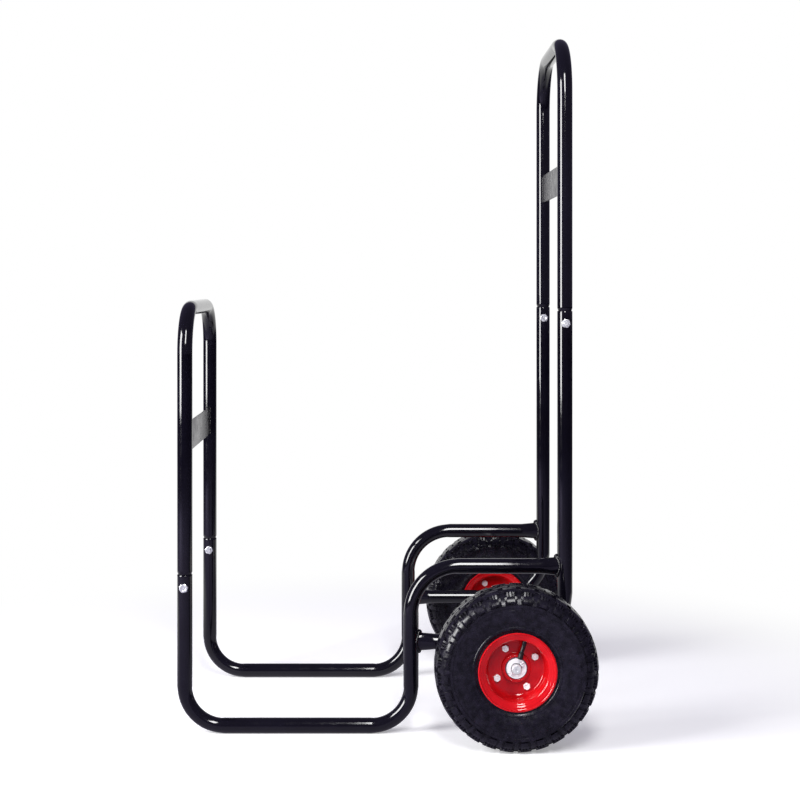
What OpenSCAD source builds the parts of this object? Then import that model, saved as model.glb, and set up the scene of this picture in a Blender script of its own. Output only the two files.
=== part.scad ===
// Two-wheeled firewood rack of bent round tube.
// X runs from the low bow (front, -X) to the push handle (rear, +X), Y across, Z up.
// The origin is on the floor, at the middle of the footprint. Millimetres and degrees.

/* [Frame tube] */
// Outside diameter of every frame tube
tube_d = 25; // [22:0.5:30]
// Wall thickness of the frame tubes
tube_wall = 1.5; // [1.2:0.1:2]
// Centre distance between the left and right side frames
frame_w = 340; // [300:5:420]
// Centre distance from the front uprights to the rear uprights
frame_l = 625; // [600:5:760]
// Distance from the front uprights to the step legs
deck_l = 372; // [320:2:385]
// Height of the centre line of the upper side bars
side_bar_z = 274.5; // [255:0.5:330]
// Bend radius at the two floor corners of a deck tube
floor_bend = 65; // [50:1:75]
// Bend radius at the top of the step
step_bend = 78; // [60:1:85]
// Bend radius from a rear upright into the lower side bar
rear_bend = 80; // [60:1:85]

/* [Bows] */
// Height of the top of the front bow
front_top = 710; // [600:5:900]
// Bend radius of the front bow
front_bow_bend = 72; // [50:1:90]
// Height of the top of the handle bow
handle_top = 1155; // [1050:5:1250]
// Bend radius of the handle bow
handle_bow_bend = 88; // [60:1:95]
// Height of the socket mouths at the front uprights
front_seam_z = 261; // [230:1:320]
// Height of the socket mouths at the rear uprights
rear_seam_z = 694; // [600:1:740]
// Length of a bow's swaged end inside its socket
swage_l = 45; // [40:1:60]
// Gap between a swaged end and the bore of its socket
swage_gap = 0.1; // [0.05:0.01:0.3]
// Length of the taper from full tube to swaged end
shoulder_l = 5; // [3:0.5:8]

/* [Plates] */
// Height of the flat strips across the bows
plate_h = 50; // [30:1:70]
// Thickness of the flat strips
plate_t = 3; // [2:0.5:5]
// Height of the middle of the front strip
front_plate_z = 482; // [400:2:560]
// Height of the middle of the handle strip
handle_plate_z = 914; // [820:2:980]

/* [Joint bolts] */
// Diameter of the joint bolts
bolt_d = 8; // [6:0.5:9]
// Distance from a socket mouth down to its bolt
bolt_drop = 20; // [15:1:24]
// Width across the flats of a bolt head or nut
bolt_af = 13; // [12:0.5:15]
// Height of a bolt head
bolt_head_h = 5.3; // [4:0.1:7]
// Height of a joint nut
bolt_nut_h = 6.5; // [5:0.1:8]
// Length of thread that stands out past a nut
bolt_end = 3; // [1:0.5:6]
// Gap around a bolt in its drilled holes
bolt_gap = 0.2; // [0.1:0.05:0.4]
// Gap between a bolt's thread and its nut
thread_gap = 0.05; // [0.02:0.01:0.1]

/* [Pressed and welded ends] */
// Height of a side bar's pressed end at its weld
pressed_h = 30; // [27:0.5:31]
// Width of a side bar's pressed end at its weld
pressed_w = 17; // [14:0.5:21]
// Length over which a side bar's end is pressed
pressed_l = 28; // [18:1:36]
// Leg length of the weld beads at the side bars
bead = 4; // [2:0.5:5]
// Radius of the weld beads along the plates
plate_bead_r = 2; // [1:0.25:3]
// Radius of the weld pool between the axle and a lower bar
axle_bead_r = 7; // [5:0.5:7.5]

/* [Axle] */
// Diameter of the axle
axle_d = 16; // [14:0.5:20]
// Distance from the rear uprights forward to the axle
axle_setback = 87.5; // [84:0.5:110]
// Length of the axle past the face of each outer washer
axle_stub = 8.7; // [8:0.1:16]
// Edge bevel at each end of the axle
axle_bevel = 1; // [0.5:0.25:2]
// Outside diameter of the axle washers
washer_d = 32; // [28:0.5:34]
// Thickness of the axle washers
washer_t = 2; // [1.5:0.1:3]
// Radial gap between a washer or sleeve and the axle
washer_gap = 0.25; // [0.1:0.05:0.5]
// End gap between parts that turn against each other
end_gap = 0.3; // [0.2:0.05:0.5]
// Outside diameter of the spacer sleeves
spacer_d = 22; // [20:0.5:24]
// Diameter of a cotter pin's shank
cotter_d = 3.6; // [3:0.1:4]
// Gap around a cotter pin in its hole
cotter_gap = 0.2; // [0.1:0.05:0.3]
// Direction in which the eye of a cotter pin points, from +X
cotter_angle = 36; // [0:1:180]

/* [Tyre] */
// Outside diameter of a tyre
tyre_d = 260; // [254:1:270]
// Width of a tyre at its widest
tyre_w = 84; // [80:1:90]
// Distance from a side frame's middle plane out to its wheel's middle plane
wheel_setout = 80; // [72:1:140]
// Thickness of rubber under the tread
tread_t = 9; // [7:0.5:12]
// Thickness of a tyre's side wall
side_wall_t = 5; // [4:0.5:7]
// Half width of the flat of the tread
crown_half_w = 26; // [20:1:28]
// Depth of the tread grooves
groove_depth = 3; // [2:0.5:5]
// Width of the round tread grooves
groove_w = 3; // [2:0.5:4]
// Distance of the outer tread grooves from the middle
groove_pitch = 13; // [9:1:16]
// Number of shoulder notches around a tyre
notch_count = 28; // [20:1:36]
// Width of a shoulder notch
notch_w = 6; // [4:0.5:9]
// Depth of a shoulder notch
notch_depth = 2.5; // [1:0.5:4]
// Gap between tyre, rim and inner tube
rubber_gap = 0.2; // [0.1:0.05:0.4]
// Wall thickness of the inner tube
inner_tube_wall = 2; // [1.5:0.1:3]

/* [Rim] */
// Diameter of the rim where the tyre sits
bead_seat_d = 100.6; // [98:0.2:104]
// Outside diameter of the rim flanges
flange_d = 124.6; // [121:0.2:128]
// Width of the rim over its flanges
rim_w = 72; // [68:1:76]
// Thickness of the rim sheet
rim_t = 2; // [1.5:0.1:2.5]
// Radius of the flat dish in the middle of the rim
dish_r = 44; // [41:0.5:45]
// Height of the collar that the dish forms around the hub
collar_h = 8.5; // [6:0.5:10]
// Diameter of the circle of the rim bolts
rim_bolt_circle = 69; // [62:1:72]
// Number of rim bolts in a wheel
rim_bolt_count = 4; // [3:1:6]
// Direction of the first rim bolt, from +X
rim_bolt_angle = 29.5; // [0:0.5:90]
// Diameter of the rim bolts
rim_bolt_d = 6; // [5:0.5:8]
// Width across the flats of a rim bolt's head or nut
rim_bolt_af = 10; // [8:0.5:12]
// Height of a rim bolt's head
rim_head_h = 4; // [3:0.5:6]
// Height of a rim nut
rim_nut_h = 5; // [4:0.5:7]

/* [Hub and bearings] */
// Outside diameter of the hub tube
hub_d = 41; // [39:0.5:44]
// Length of the hub tube
hub_l = 57; // [48:1:60]
// Distance from the wheel's middle plane to the hub's outer end
hub_out = 10; // [9:0.5:14]
// Outside diameter of a bearing
bearing_d = 35; // [33:0.5:37]
// Width of a bearing
bearing_w = 11; // [9:0.5:13]
// Depth of the bearings below the hub's ends
bearing_sink = 0.5; // [0:0.1:1]
// Radial running gap between a bearing and the axle
running_gap = 0.05; // [0.02:0.01:0.08]
// Radial gap between a bearing and the hub tube
bearing_gap = 0.02; // [0.01:0.01:0.05]

/* [Valve] */
// Diameter of the rubber valve stem
valve_d = 7.6; // [7:0.1:8.5]
// Diameter of the valve cap
valve_cap_d = 8.8; // [8.2:0.1:9.5]
// Length of the valve cap
valve_cap_l = 10; // [8:0.5:12]
// Distance from the wheel's axis to the tip of the valve cap
valve_tip_r = 17; // [16:0.5:20]
// Distance of the valve from the wheel's middle plane
valve_out = 18; // [18:0.5:22]
// Direction of the valve, from +X
valve_angle = 74; // [65:1:82]
// Gap around the valve stem in the rim
valve_gap = 0.3; // [0.2:0.05:0.6]

/* [Hidden] */

$fn = 64;

paint_black = "#1d1c22";
rubber_black = "#2b2a2e";
rim_red = "#c81a22";
zinc = "#c9ccd2";
steel = "#9a9ca1";

// Length by which a cutter passes the face that it cuts
over = 1;
// Turn of the joint bolts and nuts about their own axis
hex_turn = 18;

tube_r = tube_d / 2;
bore_r = tube_r - tube_wall;
swage_r = bore_r - swage_gap;
swage_bore_r = swage_r - tube_wall;
axle_r = axle_d / 2;
tyre_r = tyre_d / 2;
bolt_r = bolt_d / 2;
hole_r = bolt_r + bolt_gap;

// Stations along X: the footprint is centred on the origin
reach = frame_l + max(tube_r, tyre_r - axle_setback);
front_x = tube_r - (reach + tube_r) / 2;
rear_x = front_x + frame_l;
step_x = front_x + deck_l;
axle_x = rear_x - axle_setback;

// Heights
rail_z = tube_r;
axle_z = tyre_r;
low_bar_z = axle_z + axle_r + tube_r;
side_y = frame_w / 2;
wheel_y = side_y + wheel_setout;
handle_bar_z = handle_top - tube_r;
front_bar_z = front_top - tube_r;

// Places across the wheel, measured outward from its middle plane
hub_in = hub_out - hub_l;
outer_washer_at = hub_out - bearing_sink + end_gap;
axle_end_at = outer_washer_at + washer_t + axle_stub;
cotter_at = outer_washer_at + washer_t + end_gap + cotter_d / 2;
inner_washer_at = hub_in + bearing_sink - end_gap - washer_t;
spacer_r = spacer_d / 2;
flank_drop = tube_r + axle_r - spacer_r;
flank_half = sqrt(tube_r * tube_r - flank_drop * flank_drop);
spacer_from = flank_half - wheel_setout + end_gap;
spacer_to = inner_washer_at - end_gap;

bead_seat_r = bead_seat_d / 2;
flange_r = flange_d / 2;
rim_half = rim_w / 2;
hub_r = hub_d / 2;
bearing_r = bearing_d / 2;
valve_core_r = valve_d / 3;

// Paths of the bent tubes, as corner points
deck_path = [[front_x, front_seam_z], [front_x, rail_z], [step_x, rail_z],
    [step_x, side_bar_z], [rear_x, side_bar_z]];
deck_bends = [floor_bend, floor_bend, step_bend];
rear_path = [[rear_x, rear_seam_z], [rear_x, low_bar_z], [step_x, low_bar_z]];
rear_bends = [rear_bend];

// Direction of a path's run i, and its turn at corner i
function run_angle(path, i) =
    atan2(path[i + 1][1] - path[i][1], path[i + 1][0] - path[i][0]);
function wrapped(a) = a > 180 ? a - 360 : a <= -180 ? a + 360 : a;
function corner_turn(path, i) = wrapped(run_angle(path, i) - run_angle(path, i - 1));
function corner_trim(path, bends, i) = i == 0 || i == len(path) - 1 ? 0
    : bends[i - 1] * tan(abs(corner_turn(path, i)) / 2);
function along(a) = [cos(a), sin(a)];
function lengthened(path, d) = let (n = len(path) - 1) [
    for (i = [0:n]) i == 0 ? path[0] - along(run_angle(path, 0)) * d
        : i == n ? path[n] + along(run_angle(path, n - 1)) * d
        : path[i]
];

// A round bar that follows a path in the XY plane, with a bend at each corner
module bent_rod(path, bends, r) {
    for (i = [0:len(path) - 2]) {
        a = run_angle(path, i);
        from = path[i] + along(a) * corner_trim(path, bends, i);
        to = path[i + 1] - along(a) * corner_trim(path, bends, i + 1);
        translate([from[0], from[1], 0]) rotate([0, 90, a]) cylinder(h = norm(to - from), r = r);
    }
    for (i = [1:len(path) - 2]) {
        a = run_angle(path, i - 1);
        t = corner_turn(path, i);
        side = sign(t);
        start = path[i] - along(a) * corner_trim(path, bends, i);
        centre = start + along(a + side * 90) * bends[i - 1];
        translate([centre[0], centre[1], 0])
            rotate([0, 0, side > 0 ? a - 90 : a + 90 - abs(t)])
            rotate_extrude(angle = abs(t)) translate([bends[i - 1], 0]) circle(r = r);
    }
}

// Puts a flat XY shape upright across the rack, in the plane x
module across_at(x) {
    translate([x, 0, 0]) rotate([90, 0, 90]) children();
}

// Outer shape of a pressed bar end that points to +X and ends at the origin.
// It grows in height from tube to pressed_h while its sides close to pressed_w.
module pressed_end(shrink, grow, length) {
    full_r = tube_r - shrink;
    intersection() {
        translate([-pressed_l, 0, 0]) rotate([0, 90, 0])
            cylinder(h = pressed_l + length, r1 = full_r,
                r2 = full_r + (pressed_h / 2 - tube_r) * (pressed_l + length) / pressed_l + grow);
        linear_extrude(height = 2 * tube_d, center = true)
            polygon([[-pressed_l, full_r], [length, pressed_w / 2 - shrink + grow],
                [length, -pressed_w / 2 + shrink - grow], [-pressed_l, -full_r]]);
    }
}

// A hole for a joint bolt, across both walls of an upright at [x, z]
module bolt_hole(x, z) {
    translate([x, tube_d, z]) rotate([90, 0, 0]) cylinder(h = 2 * tube_d, r = hole_r);
}

module upright_bar(x, r) {
    translate([x, 0, 0]) cylinder(h = handle_top, r = r);
}

// Deck tube in the plane y = 0
module deck_tube() {
    weld_x = rear_x - tube_r;
    difference() {
        union() {
            rotate([90, 0, 0]) difference() {
                bent_rod(deck_path, deck_bends, tube_r);
                translate([weld_x - pressed_l, side_bar_z - tube_d, -tube_d])
                    cube([pressed_l + tube_d, 2 * tube_d, 2 * tube_d]);
            }
            translate([weld_x, 0, side_bar_z]) pressed_end(0, 0, tube_r);
        }
        rotate([90, 0, 0]) bent_rod(deck_bore_path(), deck_bends, bore_r);
        translate([weld_x, 0, side_bar_z]) pressed_end(tube_wall, 0, tube_r);
        upright_bar(rear_x, tube_r);
        bolt_hole(front_x, front_seam_z - bolt_drop);
    }
}

function deck_bore_path() = [deck_path[0] + [0, over], deck_path[1], deck_path[2],
    deck_path[3], [rear_x - tube_r - pressed_l, side_bar_z]];

// Rear tube in the plane y = 0
module rear_tube() {
    weld_x = step_x + tube_r;
    difference() {
        union() {
            rotate([90, 0, 0]) difference() {
                bent_rod(rear_path, rear_bends, tube_r);
                translate([weld_x - tube_d, low_bar_z - tube_d, -tube_d])
                    cube([pressed_l + tube_d, 2 * tube_d, 2 * tube_d]);
            }
            translate([weld_x, 0, low_bar_z]) mirror([1, 0, 0]) pressed_end(0, 0, tube_r);
        }
        rotate([90, 0, 0]) bent_rod(rear_bore_path(), rear_bends, bore_r);
        translate([weld_x, 0, low_bar_z]) mirror([1, 0, 0]) pressed_end(tube_wall, 0, tube_r);
        upright_bar(step_x, tube_r);
        bolt_hole(rear_x, rear_seam_z - bolt_drop);
    }
}

function rear_bore_path() = [rear_path[0] + [0, over], rear_path[1],
    [step_x + tube_r + pressed_l, low_bar_z]];

module side_placed(side) {
    translate([0, side * side_y, 0]) children();
}

// Weld beads around the two pressed ends of one side frame, in the plane y = 0
module frame_welds() {
    bar_bead(rear_x, side_bar_z, 0);
    bar_bead(step_x, low_bar_z, 1);
}

// One bead where a side bar meets an upright at x; turned is 1 where the bar comes from +X
module bar_bead(x, z, turned) {
    difference() {
        translate([x, 0, z]) mirror([turned, 0, 0]) translate([-tube_r, 0, 0]) difference() {
            intersection() {
                pressed_end(0, bead, tube_r);
                translate([-bead, -tube_d, -tube_d]) cube([bead + tube_r, 2 * tube_d, 2 * tube_d]);
            }
            pressed_end(0, 0, tube_r);
        }
        upright_bar(x, tube_r);
        translate([x + (turned == 1 ? -tube_d : 0), -tube_d, z - tube_d])
            cube([tube_d, 2 * tube_d, 2 * tube_d]);
    }
}

// Bow in the YZ plane, with swaged ends that stand in the sockets
module bow(x, seam_z, bar_z, bend) {
    full_z = seam_z + shoulder_l;
    path = [[-side_y, full_z], [-side_y, bar_z], [side_y, bar_z], [side_y, full_z]];
    difference() {
        union() {
            across_at(x) bent_rod(path, [bend, bend], tube_r);
            for (s = [-1, 1]) translate([x, s * side_y, seam_z]) {
                cylinder(h = shoulder_l, r1 = swage_r, r2 = tube_r);
                translate([0, 0, -swage_l]) cylinder(h = swage_l, r = swage_r);
            }
        }
        across_at(x) bent_rod(path, [bend, bend], bore_r);
        for (s = [-1, 1]) translate([x, s * side_y, seam_z]) {
            cylinder(h = shoulder_l, r1 = swage_bore_r, r2 = bore_r);
            translate([0, 0, -swage_l - over]) cylinder(h = swage_l + over, r = swage_bore_r);
        }
        for (s = [-1, 1]) translate([0, s * side_y, 0]) bolt_hole(x, seam_z - bolt_drop);
    }
}

// Flat strip between the two legs of a bow
module cross_plate(x, z) {
    difference() {
        translate([x - plate_t / 2, -side_y, z - plate_h / 2]) cube([plate_t, frame_w, plate_h]);
        for (s = [-1, 1]) translate([0, s * side_y, 0]) upright_bar(x, tube_r);
    }
}

// Two upright weld beads at the ends of one strip, on the face that looks into the rack
module cross_plate_welds(x, z, inward) {
    for (s = [-1, 1]) difference() {
        translate([x + inward * plate_t / 2, s * (side_y - tube_r), z - plate_h / 2])
            cylinder(h = plate_h, r = plate_bead_r);
        translate([x - plate_t / 2, -side_y, z - plate_h])
            cube([plate_t, frame_w, 2 * plate_h]);
        translate([0, s * side_y, 0]) upright_bar(x, tube_r);
    }
}

module hex_prism(af, h) {
    cylinder(h = h, r = af / sqrt(3), $fn = 6);
}

// A bolt along +Z: head below z = 0, shank above it
module bolt(r, af, head_h, shank_l) {
    translate([0, 0, -head_h]) hex_prism(af, head_h);
    cylinder(h = shank_l, r = r);
}

module nut(r, af, h) {
    difference() {
        hex_prism(af, h);
        translate([0, 0, -over]) cylinder(h = h + 2 * over, r = r + thread_gap);
    }
}

// Puts a joint bolt or nut at one upright: inward is 1 where the bolt enters from outside
module at_joint(x, z, side, inward) {
    translate([x, side * side_y, z]) rotate([side * inward * 90, 0, 0]) rotate([0, 0, hex_turn])
        translate([0, 0, -tube_r]) children();
}

module joint_bolts(x, z, inward) {
    for (s = [-1, 1]) at_joint(x, z, s, inward)
        bolt(bolt_r, bolt_af, bolt_head_h, tube_d + bolt_nut_h + bolt_end);
}

module joint_nuts(x, z, inward) {
    for (s = [-1, 1]) at_joint(x, z, s, inward)
        translate([0, 0, tube_d]) nut(bolt_r, bolt_af, bolt_nut_h);
}

// Puts a part drawn along +Z, outward from the wheel's middle plane, on the left or right end
module at_wheel(side) {
    translate([axle_x, side * wheel_y, axle_z])
        mirror([0, side == 1 ? 1 : 0, 0]) rotate([90, 0, 0]) children();
}

module ring(r_in, r_out, from, to) {
    translate([0, 0, from]) difference() {
        cylinder(h = to - from, r = r_out);
        translate([0, 0, -over]) cylinder(h = to - from + 2 * over, r = r_in);
    }
}

module axle_rod() {
    end_y = wheel_y + axle_end_at;
    difference() {
        translate([axle_x, -end_y, axle_z]) rotate([-90, 0, 0]) {
            cylinder(h = axle_bevel, r1 = axle_r - axle_bevel, r2 = axle_r);
            translate([0, 0, axle_bevel]) cylinder(h = 2 * (end_y - axle_bevel), r = axle_r);
            translate([0, 0, 2 * end_y - axle_bevel])
                cylinder(h = axle_bevel, r1 = axle_r, r2 = axle_r - axle_bevel);
        }
        for (s = [-1, 1]) at_wheel(s) translate([0, 0, cotter_at]) rotate([0, 0, cotter_angle])
            rotate([0, 90, 0]) cylinder(h = 2 * axle_d, r = cotter_d / 2 + cotter_gap, center = true);
    }
}

// Weld pools that join the axle to the two lower bars
module axle_weld_pools() {
    core_r = 1.5;
    for (s = [-1, 1]) translate([0, s * side_y, 0]) difference() {
        translate([axle_x, 0, axle_z + axle_r / 2]) cylinder(h = axle_r, r = axle_bead_r);
        translate([axle_x, 0, axle_z]) cylinder(h = 2 * tube_d, r = core_r);
        translate([axle_x, 0, axle_z]) rotate([90, 0, 0])
            cylinder(h = 2 * tube_d, r = axle_r, center = true);
        translate([axle_x, 0, low_bar_z]) rotate([0, 90, 0])
            cylinder(h = 2 * tube_d, r = tube_r, center = true);
    }
}

// Split pin with its eye outside the axle and its two legs opened
module cotter_pin() {
    wire_r = cotter_d / 4;
    eye_r = 2.6;
    leg_l = 6;
    leg_open = 24;
    rest = axle_r + wire_r;
    translate([0, 0, cotter_at]) rotate([0, 0, cotter_angle]) {
        rotate([0, 90, 0]) translate([0, 0, -rest]) difference() {
            cylinder(h = 2 * rest, r = cotter_d / 2);
            translate([-cotter_d, -wire_r / 4, -over])
                cube([2 * cotter_d, wire_r / 2, 2 * axle_r]);
        }
        translate([rest + eye_r, 0, 0]) rotate_extrude() translate([eye_r, 0]) circle(r = wire_r);
        for (s = [-1, 1]) translate([-rest, s * (wire_r + wire_r / 4), 0])
            rotate([0, 0, 180 - s * leg_open]) rotate([0, 90, 0]) {
                cylinder(h = leg_l, r = wire_r);
                sphere(r = wire_r);
            }
    }
}

// Outline helpers: each point is [r, z, corner radius]
function unit(v) = v / norm(v);
function xy(p) = [p[0], p[1]];
function left_of(v) = [-v[1], v[0]];
function turn_of(u, v) = atan2(u[0] * v[1] - u[1] * v[0], u * v);
function corner_points(a, b, c, r, steps) =
    let (u = unit(b - a), v = unit(c - b), t = turn_of(u, v), s = sign(t))
    r <= 0 || t == 0 ? [b] : let (
        start = b - u * r * tan(abs(t) / 2),
        centre = start + left_of(u) * s * r
    ) [for (k = [0:steps]) let (q = t * k / steps, d = start - centre)
        centre + [d[0] * cos(q) - d[1] * sin(q), d[0] * sin(q) + d[1] * cos(q)]];

// Closed outline with rounded corners
function rounded(points, steps) = let (n = len(points)) [
    for (i = [0:n - 1]) each corner_points(xy(points[(i + n - 1) % n]), xy(points[i]),
        xy(points[(i + 1) % n]), points[i][2], steps)
];

// One side of a sheet of half thickness d that follows points, open at both ends
function sheet_corner(points, i, d) = let (
    n = len(points) - 1,
    u = i == 0 ? unit(xy(points[1]) - xy(points[0])) : unit(xy(points[i]) - xy(points[i - 1])),
    v = i == n ? u : unit(xy(points[i + 1]) - xy(points[i])),
    m = (left_of(u) + left_of(v)) / (1 + u * v)
) [each xy(points[i]) + m * d, points[i][2] > 0 ? points[i][2] - sign(turn_of(u, v)) * d : 0];
function sheet(points, t, steps) = let (n = len(points) - 1) rounded(concat(
    [for (i = [0:n]) sheet_corner(points, i, t / 2)],
    [for (i = [n:-1:0]) sheet_corner(points, i, -t / 2)]), steps);

// Centre line of the sheet of an outer rim half
lip_l = 3;
flange_rake = 2;
seat_rise = 7;         // rise of the sheet from the dish to the start of the seat
collar_bend = 3;
dish_bend = 4;
seat_bend = 5;
flange_bend = 4;
lip_bend = 2;
rim_steps = 5;         // facets of a bend of the sheet
seat_r = bead_seat_r - rim_t / 2;
flange_z = rim_half - lip_l;
rim_line = [
    [hub_r + rim_t / 2, collar_h, 0],
    [hub_r + rim_t / 2, rim_t / 2, collar_bend],
    [dish_r, rim_t / 2, dish_bend],
    [seat_r, rim_t / 2 + seat_rise, seat_bend],
    [seat_r, flange_z - flange_rake, flange_bend],
    [flange_r - rim_t / 2, flange_z, lip_bend],
    [flange_r - rim_t / 2, rim_half, 0]
];

// Places on a tyre's cross-section
tyre_half = tyre_w / 2;
crown_flat = 9;        // half width of the flat middle of the tread
crown_drop = 1.5;      // fall from there to the tread's edge
shoulder_drop = 9;     // depth of the rounded shoulder
shoulder_inset = 6;    // distance of the shoulder from the full width
belly_drop = 25;       // depth of the widest band below the tread
belly_h = 14;          // height of the widest band
foot_rise = 12;        // height of the side wall's foot above the flange
foot_inset = 5;        // distance of the foot from the full width
lip_cover = 0.8;       // rubber past the edge of the flange
bead_l = 12;           // length of a bead along the rim
bead_t = 9;            // thickness of a bead above the rim
cavity_edge = 12;      // distance of the cavity's upper corner from the full width
cavity_corner = 5;     // depth of that corner below the cavity's top
shoulder_round = 20;   // rounding of the tread's edge and shoulder
belly_round = 40;
foot_round = 30;
edge_round = 1;        // rounding of the bead's edges and of the flange cover
heel_round = 2;
cavity_foot_round = 12;
cavity_belly_round = 20;
cavity_top_round = 10;
bead_round = 4;        // rounding of the inner tube beside the beads
tyre_steps = 6;        // facets of a rounding of the tyre
tube_steps = 4;        // facets of a rounding of the inner tube
belly_top_r = tyre_r - belly_drop;
belly_foot_r = belly_top_r - belly_h;
foot_r = flange_r + foot_rise;
bore_of_bead = bead_seat_r + rubber_gap;
cavity_top_r = tyre_r - tread_t;
flange_slope = flange_rake / (flange_r - rim_t / 2 - seat_r);
function flange_face(r) = flange_z - flange_rake + flange_slope * (r - seat_r)
    - (rim_t / 2 + rubber_gap) * norm([1, flange_slope]);
heel_r = bore_of_bead + bead_t / 3;
bead_toe = flange_face(heel_r) - bead_l;
tyre_side = [
    [tyre_r, crown_flat, 0],
    [tyre_r - crown_drop, crown_half_w, shoulder_round],
    [tyre_r - shoulder_drop, tyre_half - shoulder_inset, shoulder_round],
    [belly_top_r, tyre_half, belly_round],
    [belly_foot_r, tyre_half, belly_round],
    [foot_r, tyre_half - foot_inset, foot_round],
    [flange_r + lip_cover, flange_z, edge_round],
    [flange_r + lip_cover, flange_face(flange_r + lip_cover), 0],
    [heel_r, flange_face(heel_r), heel_round],
    [bore_of_bead, flange_face(heel_r) - bead_t / 3, edge_round],
    [bore_of_bead, bead_toe, edge_round]
];

// Upper part of the cavity, d inside its walls
function cavity_top(d) = [
    [foot_r + d, tyre_half - foot_inset - side_wall_t - d, cavity_foot_round - d],
    [belly_foot_r, tyre_half - side_wall_t - d, cavity_belly_round - d],
    [belly_top_r, tyre_half - side_wall_t - d, cavity_belly_round - d],
    [cavity_top_r - cavity_corner - d, tyre_half - cavity_edge - d, cavity_top_round - d],
    [cavity_top_r - d, crown_flat, 0]
];
cavity_side = concat([[bore_of_bead + bead_t, bead_toe, bead_round + edge_round]], cavity_top(0));
function flipped(p) = [p[0], -p[1], p[2]];
function reversed(list) = [for (i = [len(list) - 1:-1:0]) list[i]];
function flipped_back(list) = [for (p = reversed(list)) flipped(p)];

// Cross-section of the whole tyre, open to the rim
tyre_outline = concat(tyre_side, cavity_side, flipped_back(cavity_side), flipped_back(tyre_side));

// Cross-section of the space in tyre and rim, d inside their walls
function tube_space(d) = let (half = concat([
    [bore_of_bead + d, bead_toe - bead_t - d, bead_round],
    [bore_of_bead + bead_t + d, bead_toe - bead_t / 3 - d, bead_round]
], cavity_top(d))) concat(half, flipped_back(half));

module wheel_tyre() {
    difference() {
        rotate_extrude() polygon(rounded(tyre_outline, tyre_steps));
        for (s = [-1, 0, 1]) translate([0, 0, s * groove_pitch])
            ring(tyre_r - groove_depth, tyre_r + over, -groove_w / 2, groove_w / 2);
        for (i = [0:notch_count - 1], s = [-1, 1]) rotate([0, 0, (i + s / 4) * 360 / notch_count])
            translate([tyre_r - crown_drop - notch_depth, -notch_w / 2,
                s > 0 ? crown_half_w : -tyre_half - over])
            cube([tyre_half, notch_w, tyre_half + over - crown_half_w]);
    }
}

module wheel_inner_tube() {
    difference() {
        rotate_extrude() polygon(rounded(tube_space(rubber_gap), tube_steps));
        rotate_extrude() polygon(rounded(tube_space(rubber_gap + inner_tube_wall), tube_steps));
    }
}

module rim_bolt_places() {
    for (i = [0:rim_bolt_count - 1]) rotate([0, 0, rim_bolt_angle + i * 360 / rim_bolt_count])
        translate([rim_bolt_circle / 2, 0, 0]) children();
}

module rim_half_sheet() {
    difference() {
        rotate_extrude() polygon(sheet(rim_line, rim_t, rim_steps));
        rim_bolt_places() translate([0, 0, -over])
            cylinder(h = rim_t + 2 * over, r = rim_bolt_d / 2 + bolt_gap);
    }
}

module along_valve() {
    rotate([0, 0, valve_angle]) translate([0, 0, valve_out]) rotate([0, 90, 0]) children();
}

module wheel_outer_rim() {
    difference() {
        rim_half_sheet();
        along_valve() cylinder(h = bead_seat_r + 2 * over, r = valve_d / 2 + valve_gap);
    }
}

module wheel_inner_rim() {
    mirror([0, 0, 1]) rim_half_sheet();
}

module wheel_hub() {
    seat_l = bearing_w + bearing_sink;
    stop_wall = 3;
    difference() {
        translate([0, 0, hub_in]) cylinder(h = hub_l, r = hub_r);
        translate([0, 0, hub_in - over])
            cylinder(h = hub_l + 2 * over, r = bearing_r - stop_wall);
        translate([0, 0, hub_out - seat_l]) cylinder(h = seat_l + over, r = bearing_r + bearing_gap);
        translate([0, 0, hub_in - over]) cylinder(h = seat_l + over, r = bearing_r + bearing_gap);
    }
}

// Sealed ball bearing: two rings with a shield between them, sunk on both faces
module bearing(from) {
    race_w = 3;
    shield_sink = 0.6;
    in_r = axle_r + running_gap;
    difference() {
        ring(in_r, bearing_r, from, from + bearing_w);
        ring(in_r + race_w, bearing_r - race_w, from - over, from + shield_sink);
        ring(in_r + race_w, bearing_r - race_w, from + bearing_w - shield_sink, from + bearing_w + over);
    }
}

module wheel_rim_bolts() {
    rim_bolt_end = 1.5;
    rim_bolt_places() translate([0, 0, rim_t]) mirror([0, 0, 1])
        bolt(rim_bolt_d / 2, rim_bolt_af, rim_head_h, 2 * rim_t + rim_nut_h + rim_bolt_end);
}

module wheel_rim_nuts() {
    rim_bolt_places() translate([0, 0, -rim_t - rim_nut_h])
        nut(rim_bolt_d / 2, rim_bolt_af, rim_nut_h);
}

// Rubber stem that leaves the inner tube and points at the hub
module wheel_valve_stem() {
    tip = valve_tip_r + valve_cap_l;
    foot = bead_seat_r + rubber_gap;
    along_valve() {
        translate([0, 0, tip]) cylinder(h = foot - tip, r = valve_d / 2);
        translate([0, 0, tip - valve_cap_l / 2])
            cylinder(h = valve_cap_l / 2, r = valve_core_r);
    }
}

module wheel_valve_cap() {
    cap_r = valve_cap_d / 2;
    bevel = 1;
    along_valve() difference() {
        translate([0, 0, valve_tip_r]) {
            cylinder(h = bevel, r1 = cap_r - bevel, r2 = cap_r);
            translate([0, 0, bevel]) cylinder(h = valve_cap_l - bevel, r = cap_r);
        }
        translate([0, 0, valve_tip_r + valve_cap_l / 2])
            cylinder(h = valve_cap_l / 2 + over, r = valve_core_r + thread_gap);
    }
}

module washer(from) {
    ring(axle_r + washer_gap, washer_d / 2, from, from + washer_t);
}

module spacer() {
    ring(axle_r + washer_gap, spacer_r, spacer_from, spacer_to);
}

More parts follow.
